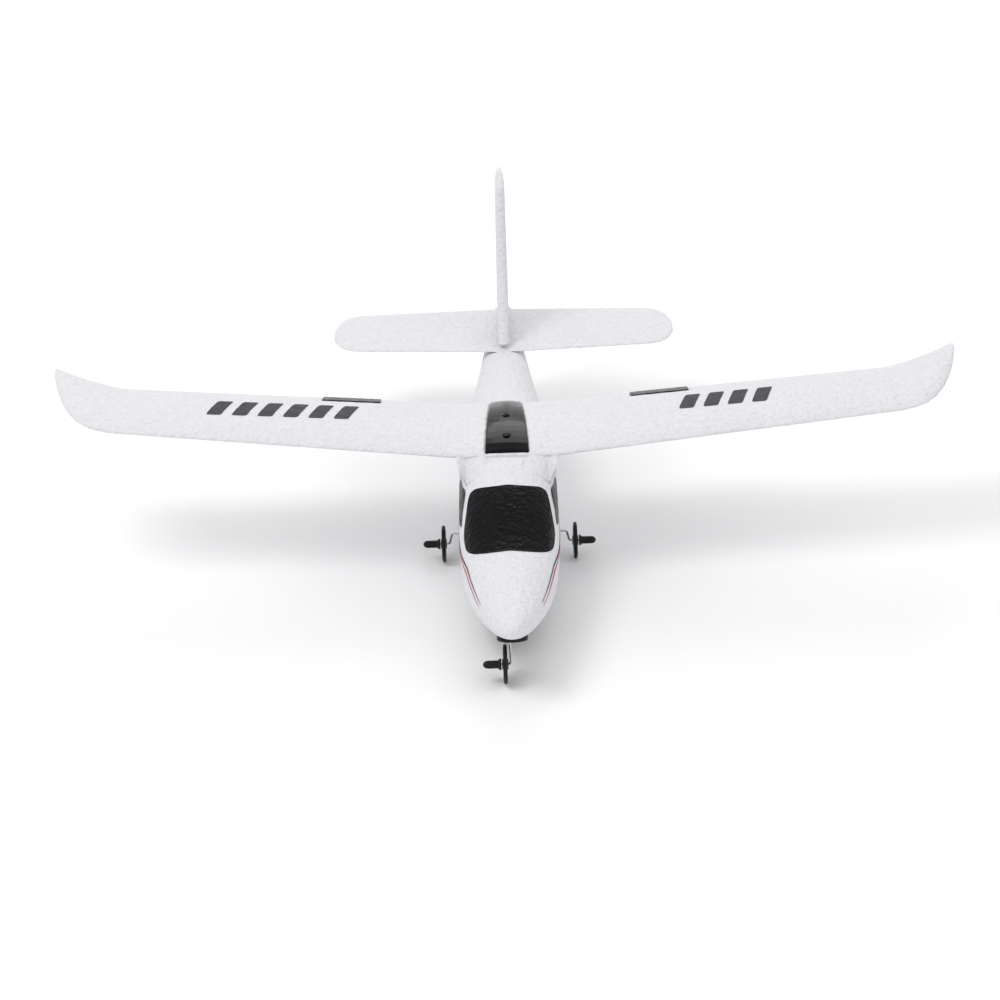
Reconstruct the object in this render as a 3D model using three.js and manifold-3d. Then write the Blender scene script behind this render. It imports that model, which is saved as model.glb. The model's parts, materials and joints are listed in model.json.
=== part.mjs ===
// A small foam radio-controlled glider with two pusher motors and a three-wheel wire undercarriage.
// Millimetres. +Z is up, the nose points to -Y, and +X is the left wing as the pilot would sit.
// Lengths along the fuselage are stations: the distance behind the wing's leading edge at its root.

import * as THREE from 'three';
import { mergeVertices } from 'three/addons/utils/BufferGeometryUtils.js';
import Module from 'manifold-3d';

const wasm = await Module();
wasm.setup();

// ---- Driving dimensions -------------------------------------------------------------------------

const GAP = 0.3;                     // between foam or plastic pieces that touch

const WING = {
  halfSpan: 172,
  rootChord: 57,
  leadingZ: 50,                      // leading edge at the root, above the ground
  washZ: -2.9,                       // trailing edge at the root, against the leading edge
  blendX: 17,                        // the panels start here and rise outwards
  rise: 0.0739,                      // dihedral, rise for each millimetre outwards
  leadingSweep: 0.081,
  trailingSweep: 0.004,
  upturnX: 145,                      // the tips turn up and back from here
  upturnRise: 4.2,
  upturnSweep: 5,
  tipRoundX: 150,
  thickness: 0.078,
  camber: 0.055,
};

const BODY = {
  noseStation: -99,
  noseZ: 28.5,
  noseWidestStation: -20,
  tailStation: 181,
  halfWidth: 18.2,
  taperStation: 48,                  // the boom narrows from here
  tailHalfWidth: 4.1,
  bellyZ: 10,
  wall: 3.4,
  boomWall: 2,
  floor: 5,
};

const TAIL = {
  leading: 125,
  trailing: 174,
  halfSpan: 70,
  z: 41,
  leadingSweep: 0.085,
  trailingSweep: 0.055,
  thickness: 0.048,
};

const FIN = {
  baseZ: 43.4,
  topZ: 105,
  baseLeading: 126,
  baseTrailing: 178,
  topLeading: 158,
  topTrailing: 179,
  baseThickness: 4.8,
  topThickness: 4,
};

const WHEEL = { radius: 7, hubRadius: 1.85, bore: 0.65, halfDisc: 0.75 };
const WIRE_RADIUS = 0.4;
const MAIN_AXLE = { station: 18, x: 24.7, crankX: 21.4, wireZ: 11 };
const NOSE_AXLE = { station: -78.5, x: -2.7, strutX: -0.8 };
const CAP_LENGTH = 6.4;

const MOTOR = { x: 58.5, z: 43.6, radius: 3.5, front: 39, length: 16, shaft: 0.4 };
const PROPELLER = { station: 62.5, radius: 23, hubRadius: 2.4, hubLength: 4 };

const COVER = { front: -58, rear: 12, halfWidth: 9, thickness: 1.2 };
const BATTERY = { front: -66, length: 37, width: 15.4, thickness: 11, z: 16.5 };
const BOARD = { front: -16, rear: 8, halfWidth: 7.4, z: 17.5 };
const LEAD = { station: 35, innerX: 6.4, outerX: 58.1, dropZ: 34 };

// ---- Materials ----------------------------------------------------------------------------------

const paint = (color, roughness, metalness = 0) =>
  new THREE.MeshStandardMaterial({ color, roughness, metalness });
const FOAM = paint(0xf2f1f5, 0.75);
const GLOSS_BLACK = paint(0x111113, 0.15);
const MATTE_BLACK = paint(0x1c1c1e, 0.5);
const GREY_PLASTIC = paint(0x4a4a4d, 0.45);
const STEEL = paint(0xb9babd, 0.3, 1);
const COPPER_GREEN = paint(0x1f5a38, 0.5);
const CELL_SILVER = paint(0xb5b8bd, 0.35, 0.6);
const WHITE_PLASTIC = paint(0xe6e6e6, 0.4);
const LEAD_RED = paint(0xb02020, 0.5);

// ---- Solids -------------------------------------------------------------------------------------

const point = (x, y, z) => new THREE.Vector3(x, y, z);

// A closed surface through rings of equal count, with a fan over each end.
function loft(rings) {
  const count = rings[0].length;
  const vertices = rings.flat();
  const index = [];
  for (let r = 0; r < rings.length - 1; r += 1) {
    for (let i = 0; i < count; i += 1) {
      const a = r * count + i;
      const b = r * count + ((i + 1) % count);
      index.push(a, b, a + count, b, b + count, a + count);
    }
  }
  const cap = (ring, start, flip) => {
    const centre = ring.reduce((sum, p) => sum.add(p), point(0, 0, 0)).divideScalar(count);
    const hub = vertices.push(centre) - 1;
    for (let i = 0; i < count; i += 1) {
      const a = start + i;
      const b = start + ((i + 1) % count);
      index.push(...(flip ? [hub, b, a] : [hub, a, b]));
    }
  };
  cap(rings[0], 0, true);
  cap(rings.at(-1), (rings.length - 1) * count, false);
  const geometry = new THREE.BufferGeometry();
  const numbers = vertices.flatMap((p) => p.toArray());
  geometry.setAttribute('position', new THREE.Float32BufferAttribute(numbers, 3));
  geometry.setIndex(index);
  return faceOut(geometry);
}

function signedVolume(geometry) {
  const place = geometry.getAttribute('position');
  const corner = [point(0, 0, 0), point(0, 0, 0), point(0, 0, 0)];
  let volume = 0;
  for (let i = 0; i < geometry.index.count; i += 3) {
    corner.forEach((c, k) => c.fromBufferAttribute(place, geometry.index.getX(i + k)));
    volume += corner[0].dot(corner[1].clone().cross(corner[2])) / 6;
  }
  return volume;
}

function faceOut(geometry) {
  if (signedVolume(geometry) < 0) {
    geometry.index.array.reverse();
  }
  return geometry;
}

function toSolid(geometry) {
  const bare = geometry.clone();
  bare.deleteAttribute('normal');
  bare.deleteAttribute('uv');
  const merged = faceOut(mergeVertices(bare, 1e-5));
  return new wasm.Manifold(new wasm.Mesh({
    numProp: 3,
    vertProperties: new Float32Array(merged.getAttribute('position').array),
    triVerts: new Uint32Array(merged.index.array),
  }));
}

function toGeometry(solid) {
  const mesh = solid.getMesh();
  const geometry = new THREE.BufferGeometry();
  geometry.setAttribute('position', new THREE.BufferAttribute(mesh.vertProperties, 3));
  geometry.setIndex(new THREE.BufferAttribute(mesh.triVerts, 1));
  return geometry;
}

const cut = (body, ...tools) => toGeometry(tools.reduce((s, t) => s.subtract(toSolid(t)), toSolid(body)));
const join = (body, ...more) => toGeometry(more.reduce((s, t) => s.add(toSolid(t)), toSolid(body)));

// A box between two corners.
function box(low, high) {
  const size = high.map((h, i) => h - low[i]);
  const centre = high.map((h, i) => (h + low[i]) / 2);
  return new THREE.BoxGeometry(...size).translate(...centre);
}

// A plate with rounded corners, lying flat with its top at z.
function roundedPlate(halfX, front, rear, z, thickness, radius) {
  const shape = new THREE.Shape();
  shape.moveTo(-halfX + radius, front);
  shape.absarc(halfX - radius, front + radius, radius, -Math.PI / 2, 0);
  shape.absarc(halfX - radius, rear - radius, radius, 0, Math.PI / 2);
  shape.absarc(-halfX + radius, rear - radius, radius, Math.PI / 2, Math.PI);
  shape.absarc(-halfX + radius, front + radius, radius, Math.PI, Math.PI * 1.5);
  const solid = { depth: thickness, bevelEnabled: false, curveSegments: 4 };
  const geometry = new THREE.ExtrudeGeometry(shape, solid);
  return geometry.translate(0, 0, z - thickness);
}

// An upright cylinder between two heights.
function post(x, y, lowZ, highZ, radius, sides = 12) {
  const height = highZ - lowZ;
  return new THREE.CylinderGeometry(radius, radius, height, sides)
    .rotateX(Math.PI / 2)
    .translate(x, y, (lowZ + highZ) / 2);
}

// A turned part along +X from the origin, from a profile of [distance along, radius].
function turnedX(profile, sides) {
  const outline = profile.map(([along, radius]) => new THREE.Vector2(radius, along));
  return new THREE.LatheGeometry(outline, sides).rotateZ(-Math.PI / 2);
}

// The same, along +Y.
const turnedY = (profile, sides) => turnedX(profile, sides).rotateZ(Math.PI / 2);

// A round wire through corners that lie in one plane, each corner rounded to the bend length.
function bentWire(corners, bend, radius = WIRE_RADIUS) {
  const path = [corners[0]];
  for (let i = 1; i < corners.length - 1; i += 1) {
    const reach = (other) => corners[i].clone().add(other.clone().sub(corners[i]).setLength(bend));
    const curve = new THREE.QuadraticBezierCurve3(reach(corners[i - 1]), corners[i], reach(corners[i + 1]));
    path.push(...curve.getPoints(4));
  }
  path.push(corners.at(-1));
  const legs = [corners[1].clone().sub(corners[0]), corners[2].clone().sub(corners[1])];
  const across = legs[0].cross(legs[1]).normalize();
  const sides = 8;
  const rings = path.map((place, i) => {
    const before = path[Math.max(0, i - 1)];
    const after = path[Math.min(path.length - 1, i + 1)];
    const up = after.clone().sub(before).cross(across).normalize();
    return Array.from({ length: sides }, (_, k) => {
      const angle = (2 * Math.PI * k) / sides;
      return place.clone()
        .addScaledVector(across, radius * Math.cos(angle))
        .addScaledVector(up, radius * Math.sin(angle));
    });
  });
  return loft(rings);
}

// ---- Aerofoils ----------------------------------------------------------------------------------

const FOIL_STEPS = 11;

// Half thickness at a fraction of the chord, for a full thickness of 1 at the thickest.
function halfThickness(u) {
  const blunt = 0.12 * u;
  const powers = [[0.2969, 0.5], [-0.126, 1], [-0.3516, 2], [0.2843, 3], [-0.1036, 4]];
  return 5 * powers.reduce((sum, [factor, power]) => sum + factor * u ** power, 0) + blunt;
}

// A ring of [along the chord, height] from the trailing edge over the top and back below.
function foil(chord, thickness, camber) {
  const ring = [];
  for (let i = 0; i < FOIL_STEPS; i += 1) {
    const u = (1 + Math.cos((Math.PI * i) / FOIL_STEPS)) / 2;
    ring.push([u, 1]);
  }
  for (let i = 0; i < FOIL_STEPS; i += 1) {
    const u = (1 - Math.cos((Math.PI * i) / FOIL_STEPS)) / 2;
    ring.push([u, -1]);
  }
  ring.push([1, -1]);
  return ring.map(([u, side]) => {
    const middle = 4 * camber * u * (1 - u) * chord;
    return [u * chord, middle + side * halfThickness(u) * thickness];
  });
}

// Where the wing's edges are at a distance out from the middle.
function wingSection(x) {
  const out = Math.abs(x);
  const panel = Math.max(0, out - WING.blendX);
  const turn = Math.max(0, (out - WING.upturnX) / (WING.halfSpan - WING.upturnX)) ** 1.15;
  const round = Math.max(0, (out - WING.tipRoundX) / (WING.halfSpan - WING.tipRoundX));
  const left = Math.max(0.04, (1 - round ** 2.2) ** 0.8);
  const leading = WING.leadingSweep * panel;
  const trailing = WING.rootChord + WING.trailingSweep * panel + WING.upturnSweep * turn;
  const chord = (trailing - leading) * left;
  const leadingZ = WING.leadingZ + WING.rise * panel + WING.upturnRise * turn;
  return { leading: trailing - chord, chord, leadingZ, washZ: WING.washZ * (chord / WING.rootChord), left };
}

// The wing's surface height: side is 1 for the top and -1 for the underside.
function wingHeight(x, station, side) {
  const s = wingSection(x);
  const u = Math.min(1, Math.max(0, (station - s.leading) / s.chord));
  const middle = 4 * WING.camber * u * (1 - u) * s.chord;
  const thick = WING.thickness * s.chord;
  return s.leadingZ + s.washZ * u + middle + side * halfThickness(u) * thick;
}

// The wing, grown outwards on every side by a margin.
function wingGeometry(margin = 0) {
  const panels = [0, WING.blendX, 36, 60, 85, 110, 130, WING.upturnX];
  const tip = [0, 0.2, 0.4, 0.57, 0.71, 0.82, 0.9, 0.96, 1];
  const stations = [...panels, ...tip.map((u) => THREE.MathUtils.lerp(WING.tipRoundX, WING.halfSpan, u))];
  const spread = [...stations.slice(1).reverse().map((x) => -x), ...stations];
  const rings = spread.map((x) => {
    const s = wingSection(x);
    const chord = s.chord + 2 * margin;
    const thick = WING.thickness * s.chord + 2 * margin;
    return foil(chord, thick, WING.camber).map(([along, height]) => point(
      x,
      s.leading - margin + along,
      s.leadingZ + (s.washZ * along) / chord + height,
    ));
  });
  return loft(rings);
}

// ---- Fuselage -----------------------------------------------------------------------------------

function bodyHalfWidth(station) {
  if (station < BODY.noseWidestStation) {
    const reach = BODY.noseWidestStation - BODY.noseStation;
    const u = (BODY.noseWidestStation - station) / reach;
    return BODY.halfWidth * Math.max(0, 1 - u ** 1.7) ** 0.62;
  }
  const u = Math.max(0, (station - BODY.taperStation) / (BODY.tailStation - BODY.taperStation));
  return THREE.MathUtils.lerp(BODY.halfWidth, BODY.tailHalfWidth, u);
}

// The top line: cowl, windscreen, cabin roof, wing seat, boom.
const TOP_LINE = new THREE.CatmullRomCurve3([
  [-47, 35.3], [-40, 37.8], [-29, 42.8], [-18, 47], [-9, 49.4], [-2, 50.6], [4, 49.9],
  [20, 49.2], [40, 48], [57, 46.4], [80, 44.4], [105, 42.6], [125, 41.6], [150, 41], [181, 40.6],
].map(([station, z]) => point(0, station, z)), false, 'centripetal');
const TOP_POINTS = TOP_LINE.getPoints(160);

function bodyTop(station) {
  if (station < TOP_POINTS[0].y) {
    const reach = TOP_POINTS[0].y - BODY.noseStation;
    const u = (TOP_POINTS[0].y - station) / reach;
    return BODY.noseZ + (TOP_POINTS[0].z - BODY.noseZ) * Math.sqrt(Math.max(0, 1 - u * u));
  }
  const next = TOP_POINTS.findIndex((p) => p.y >= station);
  if (next < 1) {
    return next === 0 ? TOP_POINTS[0].z : TOP_POINTS.at(-1).z;
  }
  const [a, b] = [TOP_POINTS[next - 1], TOP_POINTS[next]];
  return THREE.MathUtils.mapLinear(station, a.y, b.y, a.z, b.z);
}

function bodyBottom(station) {
  const chinStation = -25;
  const riseStation = 50;
  const tailBottomZ = 33;
  if (station < chinStation) {
    const u = (chinStation - station) / (chinStation - BODY.noseStation);
    return BODY.noseZ - (BODY.noseZ - BODY.bellyZ) * Math.max(0, 1 - u ** 1.8) ** 0.72;
  }
  const u = Math.max(0, (station - riseStation) / (BODY.tailStation - riseStation));
  return BODY.bellyZ + (tailBottomZ - BODY.bellyZ) * (u * u * (3 - 2 * u) * 0.45 + u * 0.55);
}

// A cross-section, squarer below than above. The core's is inside the walls, and low under the wing seat.
function bodyRing(station, sides, isCore = false) {
  const seatFront = 4;
  const seatRear = 54;
  const coreUnderSeat = 37;
  const underSeat = isCore && station > seatFront && station < seatRear;
  const { clamp, mapLinear } = THREE.MathUtils;
  const aft = mapLinear(Math.max(station, 60), 60, BODY.tailStation, BODY.wall, BODY.boomWall);
  const wall = isCore ? aft : 0;
  const halfWidth = Math.max(0.25, bodyHalfWidth(station) - wall);
  const top = underSeat ? coreUnderSeat : bodyTop(station) - wall;
  const floor = isCore ? clamp(mapLinear(station, 30, 60, BODY.floor, wall), wall, BODY.floor) : 0;
  const bottom = bodyBottom(station) + floor;
  const middle = THREE.MathUtils.lerp(bottom, top, 0.47);
  const { smoothstep } = THREE.MathUtils;
  const cabin = smoothstep(station, -80, -40) * (1 - smoothstep(station, 60, 130));
  const ring = [];
  for (let i = 0; i < sides; i += 1) {
    const angle = (2 * Math.PI * i) / sides;
    const [c, s] = [Math.cos(angle), Math.sin(angle)];
    const power = s < 0 ? 2.1 + 0.8 * cabin : 2.1 + 0.2 * cabin;
    const bend = (v) => Math.sign(v) * Math.abs(v) ** (2 / power);
    const reach = s < 0 ? middle - bottom : top - middle;
    ring.push(point(halfWidth * bend(c), station, middle + Math.max(0.1, reach) * bend(s)));
  }
  return ring;
}

function bodyStations() {
  const nose = [];
  const noseSteps = 9;
  const reach = -62 - BODY.noseStation;
  for (let i = 0; i < noseSteps; i += 1) {
    const u = (i + 0.12) / noseSteps;
    nose.push(BODY.noseStation + reach * u * u);
  }
  return [
    ...nose, -62, -54, -47, -41, -35, -29, -23.5, -18, -12, -6, -2, 3, 12, 26, 40, 52, 64, 80, 96, 112, 128,
    144, 160, 172, 178, BODY.tailStation,
  ];
}

function fuselage() {
  const outer = loft(bodyStations().map((station) => bodyRing(station, 28)));
  const coreStations = [-58, -48, -40, -30, -18, -6, 2, 5, 28, 53, 57, 75, 95, 115, 135, 160];
  const core = loft(coreStations.map((station) => bodyRing(station, 16, true)));
  const recess = COVER.thickness + GAP;
  return cut(
    outer,
    wingGeometry(GAP),
    core,
    box([-8.2, COVER.front + 4.5, 0], [8.2, COVER.rear - 3.5, 26]),
    batteryPocket(),
    roundedPlate(COVER.halfWidth + GAP, COVER.front - GAP, COVER.rear + GAP, BODY.bellyZ + recess, 8, 3),
    box([-9.3, MAIN_AXLE.station - 5.3, 0], [9.3, MAIN_AXLE.station + 5.3, 12.8]),
    box([-30, MAIN_AXLE.station - 0.8, 0], [30, MAIN_AXLE.station + 0.8, MAIN_AXLE.wireZ + 0.8]),
    nosePlateShape(GAP),
    post(NOSE_AXLE.strutX, NOSE_AXLE.station, 15, 27, 0.9, 8),
    tailplaneGeometry(GAP),
    finTab(GAP),
    ...SADDLE_SCREWS.map((station) => post(0, station, 30, 60, 1.2, 8)),
    saddleBlockShape(GAP),
    ...[-1, 1].map((side) => post(side * LEAD.innerX, LEAD.station, 30, 60, 1, 8)),
    ...[-1, 1].map((side) => post(side * CLAMP_SCREW.x, CLAMP_SCREW.station, 5, 16, 0.8, 8)),
    ...COVER_SCREWS.map((station) => post(0, station, 5, 16, 0.8, 8)),
  );
}

// ---- Tail ---------------------------------------------------------------------------------------

function tailplaneGeometry(margin = 0) {
  const outs = [0, 20, 40, 58, 61, 64, 66.5, 68.3, 69.5, TAIL.halfSpan];
  const spread = [...outs.slice(1).reverse().map((x) => -x), ...outs];
  const rings = spread.map((x) => {
    const out = Math.abs(x);
    const round = Math.max(0, (out - 56) / (TAIL.halfSpan - 56));
    const left = Math.max(0.3, Math.max(0, 1 - round ** 3) ** 0.42);
    const leading = TAIL.leading + TAIL.leadingSweep * out;
    const trailing = TAIL.trailing - TAIL.trailingSweep * out;
    const middle = THREE.MathUtils.lerp(leading, trailing, 0.45);
    const front = THREE.MathUtils.lerp(middle, leading, left) - margin;
    const rear = THREE.MathUtils.lerp(middle, trailing, left) + margin;
    const thick = TAIL.thickness * (TAIL.trailing - TAIL.leading) * (0.55 + 0.45 * left) + 2 * margin;
    return foil(rear - front, thick, 0).map(([along, height]) => point(x, front + along, TAIL.z + height));
  });
  return loft(rings);
}

function finTab(margin = 0) {
  return box([-1.6 - margin, 138 - margin, 33.5 - margin], [1.6 + margin, 158 + margin, 45]);
}

function finGeometry() {
  const rings = [];
  const levels = 14;
  for (let i = 0; i <= levels; i += 1) {
    const u = i / levels;
    const z = THREE.MathUtils.lerp(FIN.baseZ, FIN.topZ, u);
    const corner = Math.max(0, (u - 0.9) / 0.1);
    const left = Math.sqrt(Math.max(0.06, 1 - corner ** 2.2));
    const bow = 3.5 * Math.sin(Math.PI * u);
    const leading = THREE.MathUtils.lerp(FIN.baseLeading, FIN.topLeading, u) + bow;
    const trailing = THREE.MathUtils.lerp(FIN.baseTrailing, FIN.topTrailing, u);
    const chord = (trailing - leading) * left;
    const front = trailing - (trailing - leading) * (0.5 + left / 2);
    const thick = THREE.MathUtils.lerp(FIN.baseThickness, FIN.topThickness, u) * (0.5 + left / 2);
    rings.push(plankRing(front, front + chord, thick).map(([x, station]) => point(x, station, z)));
  }
  return join(loft(rings), finTab());
}

// A flat section with a round leading edge and a thinner round trailing edge.
function plankRing(front, rear, thick) {
  const ring = [];
  const half = thick / 2;
  const tail = thick * 0.24;
  for (let i = 0; i <= 6; i += 1) {
    const angle = Math.PI / 2 + (Math.PI * i) / 6;
    ring.push([-half * Math.sin(angle + Math.PI), front + half + half * Math.cos(angle)]);
  }
  ring.push([-half, THREE.MathUtils.lerp(front, rear, 0.36)]);
  for (let i = 0; i <= 4; i += 1) {
    const angle = -Math.PI / 2 + (Math.PI * i) / 4;
    ring.push([tail * Math.sin(angle), rear - tail + tail * Math.cos(angle)]);
  }
  ring.push([half, THREE.MathUtils.lerp(front, rear, 0.36)]);
  return ring;
}

// ---- Wing fastening -----------------------------------------------------------------------------

const SADDLE_SCREWS = [10, 28];
const PLATE_SCREW = { headRadius: 1.15, shankRadius: 0.5, length: 11, sink: 0.5 };

function saddleBlockShape(margin = 0) {
  return box([-3.4 - margin, 6 - margin, 39 - margin], [3.4 + margin, 36 + margin, 46 + margin]);
}

function saddleBlock() {
  const holes = SADDLE_SCREWS.map((station) => post(0, station, 30, 60, 0.7, 8));
  return cut(saddleBlockShape(), wingGeometry(GAP), ...holes);
}

const HOLD_DOWN = { front: 1.8, rear: 56.6, frontHalf: 8, rearHalf: 5.7, thickness: 1, crown: 0.6 };

const plateHalfWidth = (station) => THREE.MathUtils.mapLinear(
  station, HOLD_DOWN.front, HOLD_DOWN.rear, HOLD_DOWN.frontHalf, HOLD_DOWN.rearHalf);
const plateStations = () => Array.from({ length: 15 }, (_, i) => THREE.MathUtils.lerp(
  HOLD_DOWN.front, HOLD_DOWN.rear, i / 14));
const plateTop = (station) => wingHeight(0, station, 1) + 0.1;

// The pocket that the plate lies in. It shallows out towards the thin trailing edge.
function platePocket() {
  const { front, rear, thickness } = HOLD_DOWN;
  const ring = (station, floor) => {
    const half = plateHalfWidth(station) + GAP;
    const corners = [[-half, floor], [half, floor], [half, 70], [-half, 70]];
    return corners.map(([x, z]) => point(x, station, z));
  };
  const floor = (station) => plateTop(station) - thickness - GAP;
  const beyond = floor(rear) + 2 * (floor(rear) - floor(rear - 1));
  const seats = plateStations().map((station) => ring(station, floor(station)));
  return loft([ring(front - GAP, floor(front)), ...seats, ring(rear + 2, beyond)]);
}

// The plate follows the wing's top and is slightly domed across.
function wingPlate() {
  const { thickness, crown } = HOLD_DOWN;
  const rings = plateStations().map((station) => {
    const half = plateHalfWidth(station);
    const top = plateTop(station);
    const across = [-1, -0.66, -0.33, 0, 0.33, 0.66, 1].map((k) => k * half);
    const above = across.map((x) => point(x, station, top + crown * (1 - (x / half) ** 2)));
    const under = across.reverse().map((x) => point(x, station, top - thickness));
    return [...above, ...under];
  });
  const sinks = SADDLE_SCREWS.map((station) =>
    post(0, station, plateTop(station) + crown - PLATE_SCREW.sink, 70, PLATE_SCREW.headRadius + 0.35));
  return cut(loft(rings), ...SADDLE_SCREWS.map((station) => post(0, station, 40, 60, 0.8, 8)), ...sinks);
}

// A pan-head screw pointing down, its head's underside at the origin.
function screwGeometry(headRadius, shankRadius, length) {
  const head = turnedX([[0, 0], [0, headRadius], [0.6, headRadius], [1, headRadius * 0.6], [1.1, 0]], 14);
  const shank = turnedX([[-length, 0], [-length + 0.8, shankRadius], [0.2, shankRadius], [0.2, 0]], 8);
  const drive = headRadius * 0.3;
  const slots = [
    box([0.75, -headRadius * 0.6, -drive / 2], [2, headRadius * 0.6, drive / 2]),
    box([0.75, -drive / 2, -headRadius * 0.6], [2, drive / 2, headRadius * 0.6]),
  ];
  return toGeometry(toSolid(join(head, shank)).subtract(toSolid(join(...slots)))).rotateY(-Math.PI / 2);
}

// ---- Power units --------------------------------------------------------------------------------

const PLATE = {
  halfWidth: 10.9,
  front: 47.2,
  rear: 57,
  thickness: 0.75,
  proud: 0.3,
  bossX: 7.4,
  bossStation: 53,
};

// The cap plate on the wing's upper side, with two bosses down through the wing.
function motorTopPlate(side) {
  const rings = [];
  for (let i = 0; i <= 6; i += 1) {
    const x = side * MOTOR.x + THREE.MathUtils.lerp(-PLATE.halfWidth, PLATE.halfWidth, i / 6);
    const front = wingHeight(x, PLATE.front, 1) + PLATE.proud;
    const rear = wingHeight(x, PLATE.rear, 1) + PLATE.proud;
    rings.push([
      point(x, PLATE.front, front - PLATE.thickness),
      point(x, PLATE.rear, rear - PLATE.thickness),
      point(x, PLATE.rear, rear),
      point(x, PLATE.front, front),
    ]);
  }
  const bosses = bossPlaces(side).map(([x, station]) => {
    const top = wingHeight(x, station, 1) + PLATE.proud - PLATE.thickness / 2;
    return post(x, station, wingHeight(x, station, -1) + 0.4, top, 1.3);
  });
  const bores = bossPlaces(side).map(([x, station]) => {
    const top = wingHeight(x, station, 1) - 0.1;
    return post(x, station, 30, top, 0.75, 8);
  });
  return cut(join(loft(rings), ...bosses), ...bores);
}

// The pocket that the cap plate lies in, open towards the trailing edge.
function topPlatePocket(side) {
  const ends = [-1, 1].map((k) => side * MOTOR.x + k * (PLATE.halfWidth + GAP));
  return loft(ends.map((x) => {
    const floor = (station) => wingHeight(x, station, 1) + PLATE.proud - PLATE.thickness - GAP;
    return [
      point(x, PLATE.front - GAP, floor(PLATE.front)),
      point(x, PLATE.rear + GAP, floor(PLATE.rear)),
      point(x, PLATE.rear + GAP, 70),
      point(x, PLATE.front - GAP, 70),
    ];
  }));
}

const bossPlaces = (side) => [-1, 1].map((k) => [side * MOTOR.x + k * PLATE.bossX, PLATE.bossStation]);

// The flange's upper face is level, just under the lower end of the rising wing.
const flangeHeight = (side) => wingHeight(side * (MOTOR.x - PLATE.halfWidth), PLATE.bossStation, -1) - GAP;

// The pod under the wing: a tube round the motor, a streamlined nose and a flange for two screws.
function motorPod(side) {
  const x = side * MOTOR.x;
  const outer = MOTOR.radius + GAP + 0.8;
  const flangeTop = flangeHeight(side);
  const tube = turnedY([
    [0, 0], [0.6, 1.4], [2.4, 3], [5, 4.1], [8, outer], [28, outer], [28, 0],
  ], 20).translate(x, 29.5, MOTOR.z);
  const neck = box([x - 2.6, 42, MOTOR.z], [x + 2.6, 57.5, flangeTop]);
  const flange = box([x - 10.4, 49.5, flangeTop - 1.1], [x + 10.4, 57, flangeTop]);
  const bore = turnedY([[0, 0], [0, MOTOR.radius + GAP], [30, MOTOR.radius + GAP], [30, 0]], 20)
    .translate(x, MOTOR.front - 2.2, MOTOR.z);
  const leadHole = box([x - 1.2, 33, MOTOR.z], [x + 1.2, 38.5, MOTOR.z + 8]);
  const screwHoles = bossPlaces(side).map(([px, station]) => post(px, station, 30, 60, 0.75, 8));
  return cut(join(tube, neck, flange), wingGeometry(GAP), bore, leadHole, ...screwHoles);
}

function podScrew(x, station, side) {
  const flangeUnder = flangeHeight(side) - 1.1;
  const reach = wingHeight(x, station, 1) - 0.6 - flangeUnder;
  return screwGeometry(1.3, 0.5, reach).rotateX(Math.PI).translate(x, station, flangeUnder - 0.05);
}

function motorCan(x) {
  const bore = 0.7;
  return turnedY([
    [0, bore], [0, MOTOR.radius - 0.3], [0.3, MOTOR.radius], [MOTOR.length - 0.4, MOTOR.radius],
    [MOTOR.length, MOTOR.radius - 0.4], [MOTOR.length, 1.3], [MOTOR.length + 0.8, 1.2],
    [MOTOR.length + 0.8, bore], [0, bore],
  ], 20).translate(x, MOTOR.front, MOTOR.z);
}

function motorEndCap(x) {
  return turnedY([[-1.2, 0], [-1.2, 2.6], [-0.9, 3.1], [-0.1, 3.1], [-0.1, 0]], 20)
    .translate(x, MOTOR.front, MOTOR.z);
}

function motorShaft(x) {
  const end = PROPELLER.station + PROPELLER.hubLength / 2 - 1;
  const length = end - MOTOR.front;
  return turnedY([[0.4, 0], [0.4, MOTOR.shaft], [length, MOTOR.shaft], [length, 0]], 8)
    .translate(x, MOTOR.front, MOTOR.z);
}

// One blade along +X, twisted from a coarse root to a fine tip.
function bladeGeometry(hand) {
  const rings = [];
  const steps = 9;
  for (let i = 0; i <= steps; i += 1) {
    const u = i / steps;
    const reach = THREE.MathUtils.lerp(1.2, PROPELLER.radius, u);
    const chord = 5.6 * Math.sqrt(Math.max(0.05, Math.sin(Math.PI * (0.16 + 0.8 * u ** 1.3))));
    const pitch = hand * THREE.MathUtils.lerp(0.75, 0.28, u ** 0.6);
    const thick = THREE.MathUtils.lerp(1.3, 0.6, u);
    const ring = [];
    for (let k = 0; k < 10; k += 1) {
      const angle = (2 * Math.PI * k) / 10;
      const along = (Math.cos(angle) * chord) / 2;
      const across = (Math.sin(angle) * thick) / 2;
      ring.push(point(
        reach,
        along * Math.sin(pitch) + across * Math.cos(pitch),
        along * Math.cos(pitch) - across * Math.sin(pitch),
      ));
    }
    rings.push(ring);
  }
  return loft(rings);
}

function propeller(side) {
  const half = PROPELLER.hubLength / 2;
  const hub = turnedY([
    [-half, 0], [-half, PROPELLER.hubRadius], [half - 1.2, PROPELLER.hubRadius],
    [half - 0.3, PROPELLER.hubRadius * 0.7], [half, 0],
  ], 18);
  const blades = [0, Math.PI].map((turn) => bladeGeometry(side).rotateY(turn));
  const fit = MOTOR.shaft + 0.15;
  const bore = turnedY([[-half - 1, 0], [-half - 1, fit], [half - 0.8, fit], [half - 0.8, 0]], 8);
  return toGeometry(toSolid(join(hub, ...blades)).subtract(toSolid(bore)))
    .translate(side * MOTOR.x, PROPELLER.station, MOTOR.z);
}

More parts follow.
